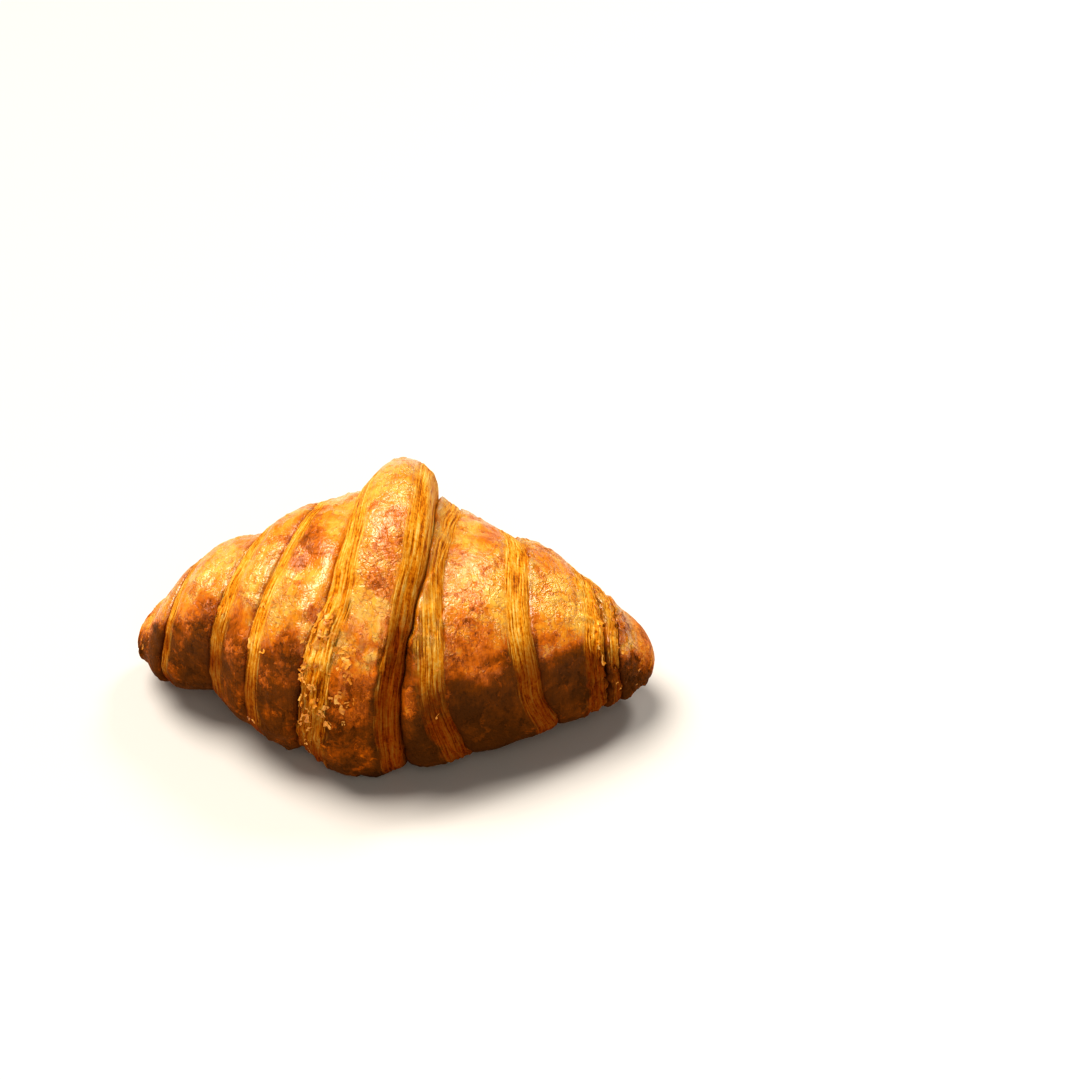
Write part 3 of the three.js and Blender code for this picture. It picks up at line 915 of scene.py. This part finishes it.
# %% One shard
bpy.ops.object.select_all(action="DESELECT")
bpy.ops.mesh.primitive_grid_add(x_subdivisions=4, y_subdivisions=3, size=1)
shard = bpy.context.object
shard.name = "pastry_shard"
bpy.ops.object.mode_set(mode="EDIT")
bpy.ops.mesh.select_all(action="SELECT")
bpy.ops.transform.vertex_random(offset=0.16, uniform=0.2, normal=0, seed=5)
bpy.ops.object.mode_set(mode="OBJECT")
curl = shard.modifiers.new("curl", "SIMPLE_DEFORM")
curl.deform_method, curl.deform_axis, curl.angle = "BEND", "Y", math.radians(50)
wall = shard.modifiers.new("wall", "SOLIDIFY")
wall.thickness, wall.offset = 0.07, 0
for modifier in ("curl", "wall"):
    bpy.ops.object.modifier_apply(modifier=modifier)
shard_points = np.empty(len(shard.data.vertices) * 3)
shard.data.vertices.foreach_get("co", shard_points)
shard_points = shard_points.reshape(-1, 3)
print("one shard has", len(shard.data.polygons), "faces")

# %% Where the shards sit
# (arm, turns from the tongue, mm from the edge, how many, size in mm, mm proud)
NESTS = [
    ("left", (0.58, 0.70), (-0.6, 3.5), 90, (1.0, 3.2), 0.3),
    ("left", (0.60, 0.70), (3.5, 11.0), 50, (1.0, 2.6), 0.05),
    ("left", (0.70, 0.84), (-0.3, 3.0), 20, (1.2, 3.0), 0.2),
    ("left", (4.4, 4.7), (-9.0, 0.5), 10, (0.9, 2.4), 0.15),
    ("left", (1.56, 1.74), (0.0, 3.0), 5, (1.0, 2.0), 0.1),
    ("left", (1.57, 1.64), (-0.5, 5.0), 12, (0.8, 2.4), 0.12),
    ("right", (0.38, 0.5), (0.0, 2.0), 6, (1.0, 2.2), 0.25),
    ("right", (1.45, 1.7), (0.0, 2.5), 8, (1.0, 2.2), 0.15),
    ("right", (3.4, 3.72), (-0.3, 3.0), 16, (1.2, 3.0), 0.3),
    ("right", (4.4, 4.78), (-0.3, 2.5), 18, (1.0, 3.0), 0.25),
    ("right", (4.55, 4.8), (-7.0, -1.0), 10, (0.9, 2.2), 0.15),
]
chance = np.random.default_rng(12)


def surface_frame(along, angle):
    """A point of the crust, with its outward direction and the direction of the axis."""
    steps_mm = np.array([0, 0.8, 0, -0.8, 0])
    steps_deg = np.array([0, 0, 1.5, 0, -1.5])
    near = crust((along + steps_mm)[None], (angle + steps_deg)[None])[0][0]
    axis, around = near[1] - near[3], near[2] - near[4]
    out = np.cross(around, axis)
    return near[0] + shift, out / np.linalg.norm(out), axis / np.linalg.norm(axis)


shards = []
for side, turn_range, reach_range, count, sizes, proud in NESTS:
    for _ in range(count):
        turns, reach = chance.uniform(*turn_range), chance.uniform(*reach_range)
        angle = TONGUE_END - 360 * (turns % 1)
        at_mm = SIGN[side] * (float(edge(side, turns)) - reach)
        centre, out, axis = surface_frame(at_mm, angle)
        length = chance.uniform(*sizes)
        turned, tilt = chance.uniform(0, 2 * math.pi), chance.uniform(0.05, 0.5)
        side_way = np.cross(out, axis)
        u = axis * math.cos(turned) + side_way * math.sin(turned)
        v = np.cross(out, u)
        v, w = v * math.cos(tilt) + out * math.sin(tilt), out * math.cos(tilt) - v * math.sin(tilt)
        size = np.array([length, length * chance.uniform(0.4, 0.8), length * 0.8])
        placed = (shard_points * size) @ np.stack([u, v, w]) + centre + out * proud
        bpy.ops.object.select_all(action="DESELECT")
        shard.select_set(True)
        bpy.context.view_layer.objects.active = shard
        bpy.ops.object.duplicate()
        bpy.context.object.data.vertices.foreach_set("co", (placed * MM).ravel())
        shards.append(bpy.context.object)
bpy.data.objects.remove(shard)
bpy.ops.object.select_all(action="DESELECT")
for piece in shards:
    piece.select_set(True)
flakes = shards[0]
bpy.context.view_layer.objects.active = flakes
bpy.ops.object.join()
flakes.name = "loose_flakes"
bpy.ops.object.mode_set(mode="EDIT")
bpy.ops.mesh.select_all(action="SELECT")
bpy.ops.mesh.normals_make_consistent(inside=False)
bpy.ops.object.mode_set(mode="OBJECT")
bpy.ops.object.shade_smooth_by_angle(angle=math.radians(40))
print(len(shards), "shards make", len(flakes.data.polygons), "faces")

# %% The flakes' finish: dry puff pastry, baked through, matt and mottled pale to dark gold
flake_finish = bpy.data.materials.new("dry_puff_pastry_flake")
flake_finish.use_nodes = True
tree = flake_finish.node_tree
tree.nodes.clear()
spot = add(tree, "TexCoord").outputs["Object"]
mottled = add(tree, "TexNoise", inputs={
    "Vector": spot, "Scale": per_mm(2.2), "Detail": 4.0, "Roughness": 0.6})
specks = add(tree, "TexNoise", inputs={"Vector": spot, "Scale": per_mm(0.5), "Detail": 2.0})
specks = add(tree, "Math", specks, 0.3, operation="MULTIPLY")
dry_tone = add(tree, "Math", mottled, specks, operation="ADD")
dry = stops(add(tree, "ValToRGB", dry_tone), [
    (0.42, "#9A5206"), (0.54, "#D07C12"), (0.66, "#E89A2C"), (0.85, "#F8C468"),
])
grit = add(tree, "Bump", inputs={"Strength": 0.6, "Distance": 0.2 * MM, "Height": dry_tone})
surface = add(tree, "BsdfPrincipled", inputs={
    "Base Color": dry, "Roughness": 0.42, "IOR": 1.45, "Normal": grit,
})
add(tree, "OutputMaterial", surface)
flakes.data.materials.clear()
flakes.data.materials.append(flake_finish)
print(flake_finish.name, "has", len(tree.nodes), "nodes")

# %% [markdown]
# ## Where the pieces belong
#
# The finished croissant rides on the frame's only body and stands for the CAD solid, which
# stays hidden as the shape the physics uses. The flakes ride with it.

# %% Attach it to the frame
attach(croissant, "root")
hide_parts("croissant")
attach(flakes, "root")

# %% [markdown]
# ## Table, light and camera
#
# A plain pale table, wide enough to reach the horizon, and one very large soft light high up
# and a little to the left. It is a lamp as far off as the sun but 40 degrees wide, so the
# table is lit evenly to its far end. A small light from behind on the right rims the crust
# and a weak one fills the front. Pale walls close the view, and only the camera sees them
# at their full strength. The lens is long and looks down a little, as food is usually shown.

# %% Table: matt white laminate, an even pale ground with no gloss
TABLE_SIZE = 30  # metres
bpy.ops.object.select_all(action="DESELECT")
bpy.ops.mesh.primitive_plane_add(size=TABLE_SIZE, location=(0, 0, 0))
table = bpy.context.object
table.name = "table"
table_finish = bpy.data.materials.new("matt_white_laminate")
table_finish.use_nodes = True
paint = table_finish.node_tree.nodes["Principled BSDF"]
paint.inputs["Base Color"].default_value = linear("#D6D4D1")
paint.inputs["Roughness"].default_value = 0.85
table.data.materials.append(table_finish)
print("the table is", TABLE_SIZE, "m wide")


# %% Lights
def point_at(thing, place, aim):
    """Stand a lamp or a camera at a place and turn it towards another."""
    thing.location = place
    direction = bpy.context.scene.cursor.location.copy()
    direction[:] = [there - here for there, here in zip(aim, thing.location)]
    thing.rotation_euler = direction.to_track_quat("-Z", "Y").to_euler()


def light(name, kind, place, aim, power, colour, **form):
    """A lamp with its place, aim, power, colour and form."""
    data = bpy.data.lights.new(name, kind)
    data.energy, data.color = power, linear(colour)[:3]
    for key, value in form.items():
        setattr(data, key, value)
    lamp = bpy.data.objects.new(name, data)
    bpy.context.collection.objects.link(lamp)
    point_at(lamp, place, aim)


light("key", "SUN", (-0.42, 0.08, 1.24), (0, 0, 0.03), 3.75, "#FFF6EA", angle=math.radians(40))
light("rim", "AREA", (0.5, 0.45, 1.0), (0.02, 0, 0.03), 4, "#FFF9F0", shape="DISK", size=0.3)
light("fill", "AREA", (0.1, -0.9, 0.62), (0, 0, 0.03), 2.6, "#FFF4E4", shape="DISK", size=0.6)
world = bpy.data.worlds.new("studio")
world.use_nodes = True
room = world.node_tree.nodes["Background"]
room.inputs["Color"].default_value = linear("#FFFFFF")
seen = add(world.node_tree, "LightPath").outputs["Is Camera Ray"]
seen = add(world.node_tree, "MapRange", inputs={"Value": seen, "To Min": 0.11, "To Max": 0.85})
world.node_tree.links.new(seen.outputs["Result"], room.inputs["Strength"])
bpy.context.scene.world = world
bpy.context.scene.view_settings.view_transform = "Standard"
bpy.context.scene.view_settings.look = "Medium High Contrast"

# %% Camera
AZIMUTH, ELEVATION = math.radians(5.2), math.radians(35)
DISTANCE = 0.62  # metres
camera_data = bpy.data.cameras.new("camera")
camera_data.lens = 80.0
camera = bpy.data.objects.new("camera", camera_data)
bpy.context.collection.objects.link(camera)
back = np.array([math.sin(AZIMUTH) * math.cos(ELEVATION),
                 -math.cos(AZIMUTH) * math.cos(ELEVATION), math.sin(ELEVATION)])
right = np.array([math.cos(AZIMUTH), math.sin(AZIMUTH), 0])
up = np.cross(back, right)
subject = (np.array([8, -3, 30]) + shift) * MM
aim = subject + right * 0.0242 + up * 0.0216  # sets the croissant low and left in the frame
point_at(camera, subject + back * DISTANCE, aim)
bpy.context.scene.camera = camera
print("camera", round(DISTANCE / MM), "mm away, lens", camera_data.lens, "mm")
